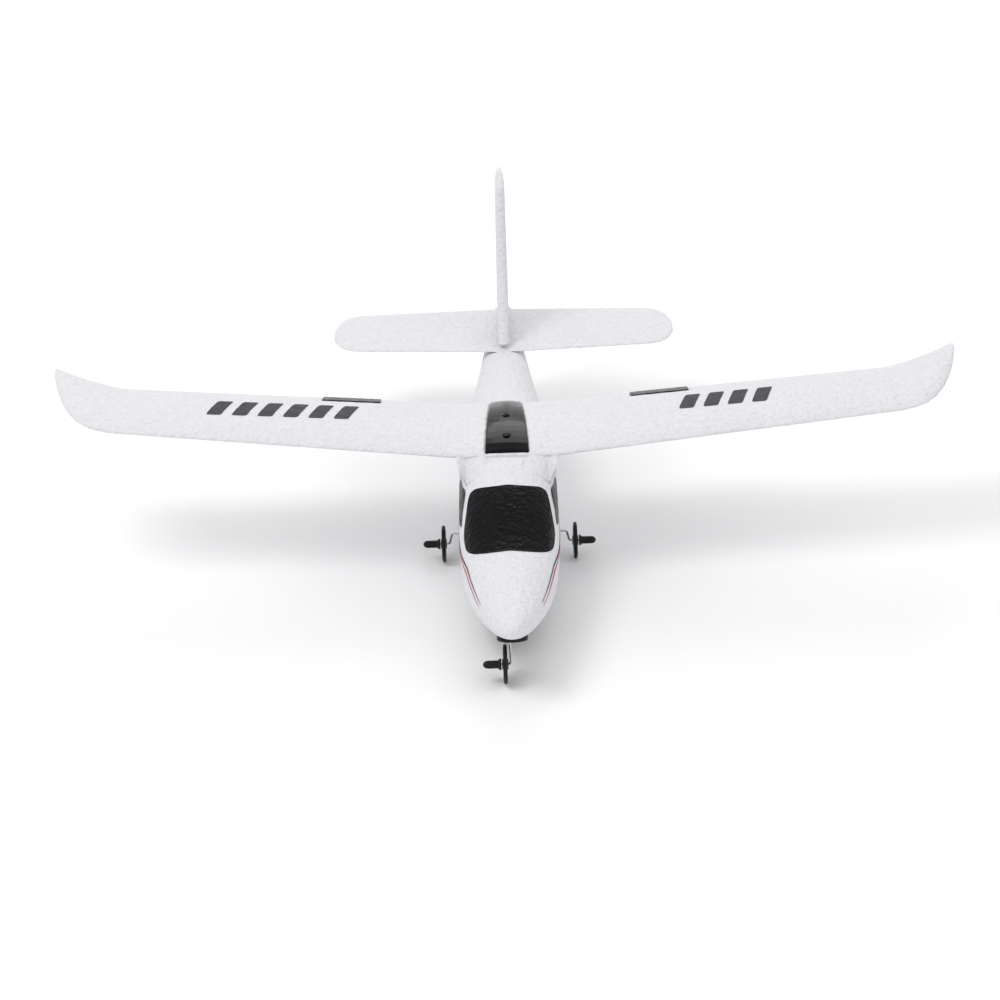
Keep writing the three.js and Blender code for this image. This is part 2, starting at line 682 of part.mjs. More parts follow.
// The twin lead lies in a groove in the wing's underside, from the pod to the fuselage.
function leadRoute(side) {
  const under = (x) => wingHeight(x, LEAD.station, -1) + 1.2;
  return [
    point(side * LEAD.innerX, LEAD.station, LEAD.dropZ),
    point(side * LEAD.innerX, LEAD.station, under(LEAD.innerX)),
    point(side * WING.blendX, LEAD.station, under(WING.blendX)),
    point(side * LEAD.outerX, LEAD.station, under(LEAD.outerX)),
    point(side * LEAD.outerX, LEAD.station, MOTOR.z + 1.6),
  ];
}

function leadGroove(side) {
  const low = (x) => wingHeight(x, LEAD.station, -1) - 1;
  const deep = (x) => wingHeight(x, LEAD.station, -1) + 2.1;
  const rings = [LEAD.innerX - 1.4, WING.blendX, LEAD.outerX + 1.6].map((x) => [
    point(side * x, LEAD.station - 1.3, low(x)),
    point(side * x, LEAD.station + 1.3, low(x)),
    point(side * x, LEAD.station + 1.3, deep(x)),
    point(side * x, LEAD.station - 1.3, deep(x)),
  ]);
  return loft(rings);
}

function wing() {
  const bossHoles = [-1, 1].flatMap(bossPlaces).map(([x, station]) => post(x, station, 30, 70, 1.3 + GAP));
  return cut(
    wingGeometry(),
    ...bossHoles,
    platePocket(),
    topPlatePocket(-1),
    topPlatePocket(1),
    ...SADDLE_SCREWS.map((station) => post(0, station, 30, 70, 1, 8)),
    leadGroove(-1),
    leadGroove(1),
  );
}

// ---- Undercarriage ------------------------------------------------------------------------------

function wheel() {
  const { radius, hubRadius, bore, halfDisc } = WHEEL;
  return turnedX([
    [-1.1, bore], [-1.1, hubRadius - 0.2], [-0.9, hubRadius], [-halfDisc * 0.6, hubRadius + 0.5],
    [-halfDisc * 0.55, radius - 2.2], [-halfDisc, radius - 1.5], [-halfDisc * 0.8, radius - 0.35], [0, radius],
    [halfDisc * 0.8, radius - 0.35], [halfDisc, radius - 1.5], [halfDisc * 0.55, radius - 2.2],
    [halfDisc * 0.6, hubRadius + 0.5], [0.9, hubRadius], [1.1, hubRadius - 0.2], [1.1, bore], [-1.1, bore],
  ], 24);
}

// A bullet-shaped stop that grips the wire's end, with a conical flange towards the wheel.
function wheelCap() {
  return turnedX([
    [4.2, 0], [4.2, 0.58], [0, 0.58], [0, 2.05], [0.4, 2.05], [1.3, 1.42], [CAP_LENGTH - 1.5, 1.4],
    [CAP_LENGTH - 0.7, 1.15], [CAP_LENGTH - 0.2, 0.65], [CAP_LENGTH, 0],
  ], 16);
}

function mainGearWire() {
  const { station, x, crankX, wireZ } = MAIN_AXLE;
  const axleEnd = x + 1.3 + 3.9;
  const corners = [];
  for (const side of [-1, 1]) {
    const leg = [
      point(side * axleEnd, station, WHEEL.radius),
      point(side * (crankX + 1), station, WHEEL.radius),
      point(side * crankX, station, wireZ),
    ];
    corners.push(...(side < 0 ? leg : leg.reverse()));
  }
  return bentWire(corners, 0.9);
}

function noseGearWire() {
  const { station, x, strutX } = NOSE_AXLE;
  return bentWire([
    point(strutX, station, 26),
    point(strutX, station, WHEEL.radius),
    point(x - 1.3 - 3.9, station, WHEEL.radius),
  ], 1);
}

const CLAMP_SCREW = { x: 6.4, station: MAIN_AXLE.station + 3.2 };
const NOSE_PLATE = {
  station: -73.5,
  z: 16.2,
  slope: -0.26,
  halfLength: 12,
  halfWidth: 5.4,
  thickness: 1.3,
};

function nosePlateShape(margin = 0) {
  const { station, z, slope, halfLength, halfWidth, thickness } = NOSE_PLATE;
  const deep = margin > 0 ? 12 : thickness;
  return roundedPlate(halfWidth + margin, -halfLength - margin, halfLength + margin, thickness / 2 + margin, deep,
    halfWidth - 0.4)
    .rotateX(slope)
    .translate(0, station, z);
}

const nosePlate = () => cut(nosePlateShape(), post(NOSE_AXLE.strutX, NOSE_AXLE.station, 5, 30, 0.75, 8));

function mainGearClamp() {
  const { station, wireZ } = MAIN_AXLE;
  return cut(
    box([-9, station - 5, BODY.bellyZ], [9, station + 5, 12.5]),
    box([-20, station - 0.8, wireZ - 0.8], [20, station + 0.8, 20]),
    ...[-1, 1].map((side) => post(side * CLAMP_SCREW.x, CLAMP_SCREW.station, 5, 20, 0.8, 8)),
    ...[-1, 1].map((side) => post(side * CLAMP_SCREW.x, CLAMP_SCREW.station, 5, BODY.bellyZ + 1.2, 1.6)),
  );
}

// ---- Belly --------------------------------------------------------------------------------------

const SWITCH = { station: -2, slot: 4.6, travel: 2 };
const RIB_X = 6.4;
const COVER_SCREWS = [COVER.front + 2.6, COVER.rear - 2.2];

function bellyCover() {
  const top = BODY.bellyZ + COVER.thickness;
  const plate = roundedPlate(COVER.halfWidth, COVER.front, COVER.rear, top, COVER.thickness, 3);
  const rib = (side, front, rear, height) =>
    box([side * RIB_X - 0.5, front, top - 0.2], [side * RIB_X + 0.5, rear, height - GAP]);
  const cellEnd = BATTERY.front + BATTERY.length - 1;
  const cellRibs = [-1, 1].map((side) => rib(side, COVER.front + 6, cellEnd, BATTERY.z));
  const boardRibs = [-1, 1].map((side) => rib(side, BOARD.front + 1, BOARD.rear - 1, BOARD.z));
  return cut(
    join(plate, ...cellRibs, ...boardRibs),
    ...COVER_SCREWS.map((station) => post(0, station, 0, 20, 0.8, 8)),
    ...COVER_SCREWS.map((station) => post(0, station, 0, BODY.bellyZ + 0.75, 1.6)),
    box([-1.3, SWITCH.station - SWITCH.slot / 2, 0], [1.3, SWITCH.station + SWITCH.slot / 2, 20]),
    box([-3.2, -13.4, 0], [3.2, -9.2, 20]),
  );
}

// A countersunk screw that comes up from below, its flush face at the origin.
function flushScrew(headRadius, shankRadius, headDepth, length) {
  return turnedX([[0, 0], [0, headRadius], [headDepth, headRadius], [headDepth, shankRadius],
    [length - 0.8, shankRadius], [length, 0]], 12).rotateY(-Math.PI / 2);
}

function switchBody() {
  const base = BODY.bellyZ + COVER.thickness + GAP;
  return cut(
    box([-1.9, SWITCH.station - 4.4, base], [1.9, SWITCH.station + 4.4, base + 3.4]),
    box([-1.05, SWITCH.station - 2.3, base - 1], [1.05, SWITCH.station + 2.3, base + 1.5]),
  );
}

function switchSlider() {
  const base = BODY.bellyZ + COVER.thickness + GAP;
  const front = SWITCH.station - 2.1;
  return join(
    box([-0.75, front, base + 0.3], [0.75, front + 2, base + 1.2]),
    box([-0.75, front + 0.3, BODY.bellyZ + 0.2], [0.75, front + 1.7, base + 0.6]),
  );
}

function chargeSocket() {
  const base = BODY.bellyZ + COVER.thickness + GAP;
  const shell = box([-2.9, -13.2, BODY.bellyZ + 0.4], [2.9, -9.4, base + 5]);
  const mouth = box([-2.3, -12.7, 0], [2.3, -9.9, base + 3.6]);
  const pins = [-1, 1].map((side) => box([side - 0.25, -11.55, 11], [side + 0.25, -11.05, base + 4]));
  return join(cut(shell, mouth), ...pins);
}

function batteryPocket() {
  const { front, length, width, thickness, z } = BATTERY;
  const half = width / 2 + GAP;
  return box([-half, front - GAP, z - GAP], [half, front + length, z + thickness + GAP]);
}

function battery() {
  const { front, length, width, thickness, z } = BATTERY;
  const cell = new THREE.Shape();
  const [halfX, halfZ, round] = [width / 2, thickness / 2, 1.6];
  cell.moveTo(-halfX + round, -halfZ);
  cell.absarc(halfX - round, -halfZ + round, round, -Math.PI / 2, 0);
  cell.absarc(halfX - round, halfZ - round, round, 0, Math.PI / 2);
  cell.absarc(-halfX + round, halfZ - round, round, Math.PI / 2, Math.PI);
  cell.absarc(-halfX + round, -halfZ + round, round, Math.PI, Math.PI * 1.5);
  return new THREE.ExtrudeGeometry(cell, { depth: length, bevelEnabled: false, curveSegments: 4 })
    .rotateX(-Math.PI / 2)
    .translate(0, front, z + halfZ);
}

function receiverBoard() {
  const { front, rear, halfWidth, z } = BOARD;
  const chip = (x, station, halfX, halfY, height) =>
    box([x - halfX, station - halfY, z + 0.5], [x + halfX, station + halfY, z + 1 + height]);
  return join(
    box([-halfWidth, front, z], [halfWidth, rear, z + 1]),
    chip(0, -9, 3, 3, 1),
    chip(-3.6, -1.5, 2, 2, 1),
    chip(3.6, -1.5, 2, 2.5, 1.4),
    chip(0, 4.4, 4, 2, 3),
  );
}

function antennaWire() {
  const exit = BOARD.rear + 0.4;
  return bentWire([point(5.2, exit, BOARD.z + 1), point(5.2, 30, 21), point(2.5, 110, 30)], 6, 0.35);
}

// ---- Assembly -----------------------------------------------------------------------------------

const airframe = new THREE.Group();
airframe.name = 'airframe';

function piece(name, geometry, material) {
  const mesh = new THREE.Mesh(geometry, material);
  mesh.name = name;
  airframe.add(mesh);
  return mesh;
}

piece('fuselage_foam', fuselage(), FOAM);
piece('wing_foam', wing(), FOAM);
piece('tailplane_foam', cut(tailplaneGeometry(), finTab(GAP)), FOAM);
piece('fin_foam', finGeometry(), FOAM);

piece('wing_hold_down_plate', wingPlate(), GLOSS_BLACK);
piece('wing_saddle_block', saddleBlock(), WHITE_PLASTIC);
SADDLE_SCREWS.forEach((station, i) => {
  const { headRadius, shankRadius, length, sink } = PLATE_SCREW;
  const name = `wing_plate_screw_${['front', 'rear'][i]}`;
  const screw = piece(name, screwGeometry(headRadius, shankRadius, length), STEEL);
  screw.position.set(0, station, plateTop(station) + HOLD_DOWN.crown - sink + 0.1);
});

for (const side of [-1, 1]) {
  const hand = side < 0 ? 'right' : 'left';
  const x = side * MOTOR.x;
  piece(`${hand}_motor_top_plate`, motorTopPlate(side), GREY_PLASTIC);
  piece(`${hand}_motor_pod`, motorPod(side), MATTE_BLACK);
  bossPlaces(side).forEach(([px, station], i) => {
    piece(`${hand}_pod_screw_${i + 1}`, podScrew(px, station, side), STEEL);
  });
  piece(`${hand}_motor_can`, motorCan(x), STEEL);
  piece(`${hand}_motor_end_cap`, motorEndCap(x), WHITE_PLASTIC);
  piece(`${hand}_motor_shaft`, motorShaft(x), STEEL);
  piece(`${hand}_propeller`, propeller(side), MATTE_BLACK);
  piece(`${hand}_motor_lead`, bentWire(leadRoute(side), 1.2, 0.5), LEAD_RED);
  const capX = side * (MAIN_AXLE.x + 1.35);
  const mainWheel = piece(`${hand}_wheel`, wheel(), MATTE_BLACK);
  mainWheel.position.set(side * MAIN_AXLE.x, MAIN_AXLE.station, WHEEL.radius);
  const mainCap = piece(`${hand}_wheel_cap`, wheelCap(), GLOSS_BLACK);
  mainCap.position.set(capX, MAIN_AXLE.station, WHEEL.radius);
  mainCap.rotation.z = side < 0 ? Math.PI : 0;
}

piece('main_gear_wire', mainGearWire(), STEEL);
piece('main_gear_clamp', mainGearClamp(), MATTE_BLACK);
for (const side of [-1, 1]) {
  const hand = side < 0 ? 'right' : 'left';
  const screw = piece(`${hand}_clamp_screw`, flushScrew(1.3, 0.5, 0.8, 5), STEEL);
  screw.position.set(side * CLAMP_SCREW.x, CLAMP_SCREW.station, BODY.bellyZ + 0.2);
}

piece('nose_gear_plate', nosePlate(), MATTE_BLACK);
piece('nose_gear_wire', noseGearWire(), STEEL);
piece('nose_wheel', wheel(), MATTE_BLACK).position.set(NOSE_AXLE.x, NOSE_AXLE.station, WHEEL.radius);
const noseCap = piece('nose_wheel_cap', wheelCap(), GLOSS_BLACK);
noseCap.position.set(NOSE_AXLE.x - 1.35, NOSE_AXLE.station, WHEEL.radius);
noseCap.rotation.z = Math.PI;

piece('belly_cover', bellyCover(), MATTE_BLACK);
COVER_SCREWS.forEach((station, i) => {
  const screw = piece(`belly_cover_screw_${['front', 'rear'][i]}`, flushScrew(1.3, 0.5, 0.5, 4.4), STEEL);
  screw.position.set(0, station, BODY.bellyZ + 0.15);
});
piece('battery', battery(), CELL_SILVER);
piece('receiver_board', receiverBoard(), COPPER_GREEN);
piece('power_switch_body', switchBody(), MATTE_BLACK);
piece('power_switch_slider', switchSlider(), WHITE_PLASTIC);
piece('charge_socket', chargeSocket(), WHITE_PLASTIC);
piece('antenna_wire', antennaWire(), MATTE_BLACK);

// The row's origin is under the middle of the bounding box, on the ground.
airframe.updateMatrixWorld(true);
const bounds = new THREE.Box3().setFromObject(airframe);
airframe.position.y = -(bounds.min.y + bounds.max.y) / 2;

export default airframe;
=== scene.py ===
"""Looks of a small foam aeroplane: foam, prints, plastics, metal, studio. Metres, Z up, nose towards -Y."""

import json
import math

import bmesh
import bpy
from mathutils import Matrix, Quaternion, Vector, noise
from mathutils.bvhtree import BVHTree

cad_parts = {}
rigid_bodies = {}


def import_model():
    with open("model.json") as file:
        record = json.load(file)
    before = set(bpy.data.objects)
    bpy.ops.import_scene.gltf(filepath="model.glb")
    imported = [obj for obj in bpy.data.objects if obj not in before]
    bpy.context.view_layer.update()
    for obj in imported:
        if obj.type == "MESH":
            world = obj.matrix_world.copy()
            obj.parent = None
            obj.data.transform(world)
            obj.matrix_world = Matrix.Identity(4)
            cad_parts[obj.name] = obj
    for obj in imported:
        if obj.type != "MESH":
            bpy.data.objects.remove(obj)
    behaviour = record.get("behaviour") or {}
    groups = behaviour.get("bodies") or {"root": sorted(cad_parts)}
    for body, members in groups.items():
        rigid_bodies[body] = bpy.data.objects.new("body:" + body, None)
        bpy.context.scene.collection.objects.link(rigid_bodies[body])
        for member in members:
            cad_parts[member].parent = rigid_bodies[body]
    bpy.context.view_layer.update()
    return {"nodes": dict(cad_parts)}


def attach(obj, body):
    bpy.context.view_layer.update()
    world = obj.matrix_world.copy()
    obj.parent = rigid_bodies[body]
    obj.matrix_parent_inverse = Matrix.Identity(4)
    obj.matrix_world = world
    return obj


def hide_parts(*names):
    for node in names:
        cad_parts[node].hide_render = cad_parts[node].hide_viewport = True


for leftover in list(bpy.data.objects):
    bpy.data.objects.remove(leftover)
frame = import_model()

MM = 0.001
ROOT_LEADING_Y = -41.0          # the wing root's leading edge, where stations start
BEADS_PER_METRE = 560.0

# ---- Camera and studio ---------------------------------------------------------------------------

VIEW_TARGET = Vector((0.0, ROOT_LEADING_Y, 50.0)) * MM
VIEW_DISTANCE = 1.0
VIEW_ELEVATION = 24.0
VIEW_ROLL = 1.65
VIEW_LENS = 99.0
VIEW_SHIFT = (-0.0072, -0.043)
WORLD_STRENGTH = 0.80
LIGHTS = [                      # name, place, size, power
    ("key", (-0.7, -0.4, 1.3), 0.7, 6),
    ("fill", (1.0, -0.3, 1.3), 1.2, 1.5),
    ("back", (0.1, 1.3, 1.0), 0.9, 4),
]
FLOOR_REACH = 8.0
FLOOR_HEIGHT = -0.0001


def make_camera():
    elevation = math.radians(VIEW_ELEVATION)
    look = Vector((0.0, math.cos(elevation), -math.sin(elevation)))
    data = bpy.data.cameras.new("camera")
    data.lens = VIEW_LENS
    data.sensor_width = 36.0
    data.shift_x, data.shift_y = VIEW_SHIFT
    data.clip_start = 0.01
    data.clip_end = 60.0
    camera = bpy.data.objects.new("camera", data)
    bpy.context.scene.collection.objects.link(camera)
    camera.rotation_mode = "QUATERNION"
    turn = look.to_track_quat("-Z", "Y")
    roll = Quaternion((0.0, 0.0, 1.0), math.radians(-VIEW_ROLL))
    camera.rotation_quaternion = turn @ roll
    camera.location = VIEW_TARGET - look * VIEW_DISTANCE
    bpy.context.scene.camera = camera


def soft_light(name, place, size, power):
    """A round light that looks at the origin."""
    data = bpy.data.lights.new(name, "AREA")
    data.shape = "DISK"
    data.size = size
    data.energy = power
    light = bpy.data.objects.new(name, data)
    bpy.context.scene.collection.objects.link(light)
    light.location = place
    light.rotation_mode = "QUATERNION"
    light.rotation_quaternion = (-Vector(place)).to_track_quat("-Z", "Y")


def make_studio():
    world = bpy.data.worlds.new("studio")
    world.use_nodes = True
    world.node_tree.nodes["Background"].inputs["Color"].default_value = (1.0, 1.0, 1.0, 1.0)
    world.node_tree.nodes["Background"].inputs["Strength"].default_value = WORLD_STRENGTH
    bpy.context.scene.world = world
    bpy.context.scene.view_settings.view_transform = "Standard"
    for name, place, size, power in LIGHTS:
        soft_light(name, place, size, power)
    mesh = bpy.data.meshes.new("floor")
    signs = [(-1, -1), (1, -1), (1, 1), (-1, 1)]
    corners = [(x * FLOOR_REACH, y * FLOOR_REACH, FLOOR_HEIGHT) for x, y in signs]
    mesh.from_pydata(corners, [], [(0, 1, 2, 3)])
    floor = bpy.data.objects.new("floor", mesh)
    bpy.context.scene.collection.objects.link(floor)
    mesh.materials.append(floor_material())


# ---- Material building ---------------------------------------------------------------------------

MIX_FACTOR, MIX_FIRST, MIX_SECOND, MIX_RESULT = 0, 6, 7, 2     # the colour sockets of a Mix node


class Look:
    """A Principled material with short calls for its nodes."""

    def __init__(self, name, colour, roughness, metallic=0.0):
        self.material = bpy.data.materials.new(name)
        self.material.use_nodes = True
        self.tree = self.material.node_tree
        self.shader = self.tree.nodes["Principled BSDF"]
        self.colour = (*colour, 1.0)
        self.set("Base Color", self.colour)
        self.set("Roughness", roughness)
        self.set("Metallic", metallic)
        self.place = self.node("ShaderNodeTexCoord").outputs["Object"]

    def node(self, kind, **values):
        made = self.tree.nodes.new(kind)
        for key, value in values.items():
            setattr(made, key, value)
        return made

    def set(self, socket, value):
        self.shader.inputs[socket].default_value = value

    def link(self, output, socket):
        self.tree.links.new(output, socket)

    def noise(self, scale, detail=3.0, stretch=None):
        """A noise value; stretch lengthens it along an axis."""
        made = self.node("ShaderNodeTexNoise")
        made.inputs["Scale"].default_value = scale
        made.inputs["Detail"].default_value = detail
        self.link(self.stretched(stretch), made.inputs["Vector"])
        return made.outputs["Fac"]

    def stretched(self, stretch):
        if stretch is None:
            return self.place
        made = self.node("ShaderNodeMapping")
        made.inputs["Scale"].default_value = stretch
        self.link(self.place, made.inputs["Vector"])
        return made.outputs["Vector"]

    def cells(self, scale, feature="F1", output="Distance"):
        made = self.node("ShaderNodeTexVoronoi", feature=feature)
        made.inputs["Scale"].default_value = scale
        self.link(self.place, made.inputs["Vector"])
        return made.outputs[output]

    def ramp(self, value, low, high, dark=0.0, light=1.0):
        made = self.node("ShaderNodeMapRange", clamp=True)
        for socket, number in (("From Min", low), ("From Max", high), ("To Min", dark), ("To Max", light)):
            made.inputs[socket].default_value = number
        self.link(value, made.inputs["Value"])
        return made.outputs["Result"]

    def math(self, operation, first, second):
        made = self.node("ShaderNodeMath", operation=operation)
        for socket, value in zip(made.inputs, (first, second)):
            if isinstance(value, (int, float)):
                socket.default_value = value
            else:
                self.link(value, socket)
        return made.outputs[0]

    def tint(self, factor, colour):
        """Mixes a colour over the base where factor is high. Calls stack."""
        made = self.node("ShaderNodeMix", data_type="RGBA")
        base = self.shader.inputs["Base Color"]
        if base.is_linked:
            self.link(base.links[0].from_socket, made.inputs[MIX_FIRST])
        else:
            made.inputs[MIX_FIRST].default_value = self.colour
        made.inputs[MIX_SECOND].default_value = (*colour, 1.0)
        self.link(factor, made.inputs[MIX_FACTOR])
        self.link(made.outputs[MIX_RESULT], base)

    def bump(self, height, distance, strength=1.0):
        """Adds relief. Calls stack."""
        made = self.node("ShaderNodeBump")
        made.inputs["Distance"].default_value = distance
        made.inputs["Strength"].default_value = strength
        normal = self.shader.inputs["Normal"]
        if normal.is_linked:
            self.link(normal.links[0].from_socket, made.inputs["Normal"])
        self.link(height, made.inputs["Height"])
        self.link(made.outputs["Normal"], normal)

    def rough(self, value, low, high):
        self.link(self.ramp(value, 0.3, 0.7, low, high), self.shader.inputs["Roughness"])

    def edges(self):
        """High on worn outer edges."""
        point = self.node("ShaderNodeNewGeometry").outputs["Pointiness"]
        return self.ramp(point, 0.53, 0.62)


def floor_material():
    look = Look("pale_floor", (0.93, 0.93, 0.935), 0.6)
    look.rough(look.noise(3.0), 0.55, 0.68)
    look.tint(look.ramp(look.noise(1.5), 0.3, 0.8), (0.945, 0.945, 0.95))
    return look.material


def bead_cells(look):
    """Rounded bead joints and bead crowns, a little wavy so that no cell is a clean polygon."""
    wave = look.node("ShaderNodeTexNoise")
    wave.inputs["Scale"].default_value = 700.0
    look.link(look.place, wave.inputs["Vector"])
    sway = look.node("ShaderNodeVectorMath", operation="SCALE")
    sway.inputs["Scale"].default_value = 0.0016
    look.link(wave.outputs["Color"], sway.inputs[0])
    moved = look.node("ShaderNodeVectorMath", operation="ADD")
    look.link(look.place, moved.inputs[0])
    look.link(sway.outputs[0], moved.inputs[1])
    straight, look.place = look.place, moved.outputs[0]
    joints = look.cells(BEADS_PER_METRE, "DISTANCE_TO_EDGE")
    crowns = look.cells(BEADS_PER_METRE, "SMOOTH_F1")
    tones = look.cells(BEADS_PER_METRE, output="Color")
    look.place = straight
    return joints, crowns, tones


def foam_material():
    """Moulded bead foam: small rounded cells under a closed skin, a little shade in the joints."""
    look = Look("bead_foam", (0.735, 0.735, 0.76), 0.6)
    joints, crowns, tones = bead_cells(look)
    tone = look.node("ShaderNodeSeparateColor")
    look.link(tones, tone.inputs[0])
    look.tint(look.ramp(tone.outputs[0], 0.0, 1.0, 0.0, 0.35), (0.79, 0.79, 0.81))
    look.tint(look.ramp(joints, 0.0, 0.2, 0.16, 0.0), (0.60, 0.60, 0.64))
    look.tint(look.ramp(look.noise(22.0), 0.35, 0.75, 0.0, 0.3), (0.70, 0.705, 0.74))
    look.bump(look.ramp(joints, 0.0, 0.3), 0.00010)
    look.bump(look.ramp(crowns, 0.0, 0.8, 1.0, 0.0), 0.00042)
    look.bump(look.noise(240.0, 2.0, (1.0, 1.0, 2.4)), 0.0005, 0.45)
    look.rough(look.noise(160.0), 0.5, 0.68)
    look.set("Subsurface Weight", 0.1)
    look.set("Subsurface Radius", (0.003, 0.003, 0.0032))
    look.set("Subsurface Scale", 0.6)
    look.set("Specular IOR Level", 0.4)
    return look.material


def print_material(name, colour, roughness):
    """Thin ink over foam: the cells show through as dimples and the ink thins on their crowns."""
    look = Look(name, colour, roughness)
    joints, crowns, _ = bead_cells(look)
    look.bump(look.ramp(joints, 0.0, 0.3), 0.00006)
    look.bump(look.ramp(crowns, 0.0, 0.8, 1.0, 0.0), 0.00022)
    look.bump(look.noise(240.0, 2.0, (1.0, 1.0, 2.4)), 0.0003, 0.35)
    lighter = tuple(min(1.0, part * 1.5 + 0.002) for part in colour)
    look.tint(look.ramp(look.noise(700.0), 0.58, 0.74, 0.0, 0.4), lighter)
    look.rough(look.noise(240.0), roughness - 0.08, roughness + 0.1)
    look.set("Specular IOR Level", 0.08)
    return look.material


def plastic_material(name, colour, roughness, grain=0.00001, worn=0.3, shine=0.2):
    """Moulded plastic: fine spark-eroded grain, faint sink marks, paler worn edges."""
    look = Look(name, colour, roughness)
    look.bump(look.noise(3200.0, 2.0), grain)
    look.bump(look.noise(90.0), 0.00004, 0.35)
    lighter = tuple(min(1.0, part * 1.6 + 0.01) for part in colour)
    patches = look.ramp(look.noise(500.0), 0.4, 0.7, 0.0, worn)
    look.tint(look.math("MULTIPLY", look.edges(), patches), lighter)
    darker = tuple(part * 0.8 for part in colour)
    look.tint(look.ramp(look.noise(60.0), 0.4, 0.8, 0.0, 0.5), darker)
    look.rough(look.noise(320.0), max(0.05, roughness - 0.05), roughness + 0.09)
    look.set("Specular IOR Level", shine)
    return look.material


def metal_material(name, colour, roughness, stretch=(1, 1, 1), scale=900.0):
    """Bare metal with drawing or turning lines along one direction."""
    look = Look(name, colour, roughness, 1.0)
    lines = look.noise(scale, 4.0, stretch)
    look.bump(lines, 0.00002, 0.6)
    look.rough(lines, roughness - 0.08, roughness + 0.14)
    darker = tuple(part * 0.62 for part in colour)
    look.tint(look.ramp(look.noise(210.0), 0.45, 0.8, 0.0, 0.6), darker)
    return look.material


def board_material():
    look = Look("circuit_board_look", (0.012, 0.10, 0.045), 0.35)
    pads = look.node("ShaderNodeTexBrick")
    pads.inputs["Scale"].default_value = 320.0
    look.link(look.place, pads.inputs["Vector"])
    look.tint(look.ramp(pads.outputs["Fac"], 0.0, 1.0, 0.0, 0.6), (0.02, 0.22, 0.09))
    look.tint(look.ramp(look.cells(700.0), 0.10, 0.16, 0.9, 0.0), (0.62, 0.55, 0.36))
    look.rough(look.noise(500.0), 0.28, 0.45)
    look.bump(pads.outputs["Fac"], 0.00003)
    return look.material


def foil_material():
    look = Look("cell_foil_look", (0.62, 0.63, 0.66), 0.34, 0.9)
    look.bump(look.noise(130.0, 5.0), 0.0004, 0.5)
    look.bump(look.cells(260.0), 0.0001, 0.4)
    look.rough(look.noise(200.0), 0.26, 0.5)
    look.tint(look.ramp(look.noise(50.0), 0.4, 0.8, 0.0, 0.4), (0.5, 0.51, 0.55))
    return look.material


# ---- Mesh helpers --------------------------------------------------------------------------------

WELD_GAP = 0.000002
UNEVEN_PER_METRE = 90.0
RAY_RUN_UP = 0.05               # a ray starts this far before the point it is cast through
SHORTEST_EDGE = 1e-6


def new_piece(name, vertices, faces, material, slot, body):
    mesh = bpy.data.meshes.new(name)
    mesh.from_pydata([tuple(v) for v in vertices], [], faces)
    mesh.validate()
    mesh.update()
    piece = bpy.data.objects.new(name, mesh)
    bpy.context.scene.collection.objects.link(piece)
    mesh.materials.append(material)
    for face in mesh.polygons:
        face.use_smooth = True
    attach(piece, body)
    return piece


def settle(piece):
    """Applies the piece's modifiers to its mesh."""
    graph = bpy.context.evaluated_depsgraph_get()
    mesh = bpy.data.meshes.new_from_object(piece.evaluated_get(graph))
    piece.modifiers.clear()
    piece.data = mesh


def moulded(name, node, voxel, keep, material, waviness, rounds=3):
    """The CAD solid as moulded: one smooth skin with softly rounded edges and a faint unevenness."""
    mesh = frame["nodes"][node].data.copy()
    welded = bmesh.new()
    welded.from_mesh(mesh)
    bmesh.ops.remove_doubles(welded, verts=welded.verts, dist=WELD_GAP)
    welded.to_mesh(mesh)
    welded.free()
    piece = bpy.data.objects.new(name, mesh)
    bpy.context.scene.collection.objects.link(piece)
    remesh = piece.modifiers.new("even", "REMESH")
    remesh.mode = "VOXEL"
    remesh.voxel_size = voxel
    soften = piece.modifiers.new("soften", "SMOOTH")
    soften.factor = 0.5
    soften.iterations = rounds
    thin = piece.modifiers.new("thin", "DECIMATE")
    thin.ratio = keep
    settle(piece)
    places = []
    for vertex in piece.data.vertices:
        push = (noise.noise(vertex.co * UNEVEN_PER_METRE) - 1.0) * waviness
        places.extend(vertex.co + vertex.normal * push)
    piece.data.vertices.foreach_set("co", places)
    piece.data.update()
    piece.data.materials.clear()
    piece.data.materials.append(material)
    for face in piece.data.polygons:
        face.use_smooth = True
    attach(piece, "airframe")
    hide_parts(node)
    return piece


def foam_piece(name, node, voxel, keep):
    return moulded(name, node, voxel, keep, FOAM, 0.00004)


def tree_of(piece):
    mesh = piece.data
    return BVHTree.FromPolygons([v.co for v in mesh.vertices], [tuple(p.vertices) for p in mesh.polygons])


def closed_curve(corners, steps=6):
    """A smooth closed outline through corners given as (u, v, roundness 0 to 1)."""
    outline = []
    count = len(corners)
    for i, (u, v, round_part) in enumerate(corners):
        before = Vector(corners[i - 1][:2])
        after = Vector(corners[(i + 1) % count][:2])
        here = Vector((u, v))
        start = here.lerp(before, round_part / 2)
        end = here.lerp(after, round_part / 2)
        for step in range(steps + 1):
            t = step / steps
            outline.append(start.lerp(here, t).lerp(here.lerp(end, t), t))
    return outline


def resampled(outline, spacing):
    """The outline with points about a spacing apart."""
    points = []
    for i, here in enumerate(outline):
        after = outline[(i + 1) % len(outline)]
        length = (after - here).length
        if length < SHORTEST_EDGE:
            continue
        parts = max(1, round(length / spacing))
        points += [here.lerp(after, k / parts) for k in range(parts)]
    return points


def faces_between(rings, count):
    """Quads that join closed rings of count points each, one ring after the other."""
    faces = []
    for ring in range(rings - 1):
        for i in range(count):
            a = ring * count + i
            b = ring * count + (i + 1) % count
            faces.append((a, b, b + count, a + count))
    return faces


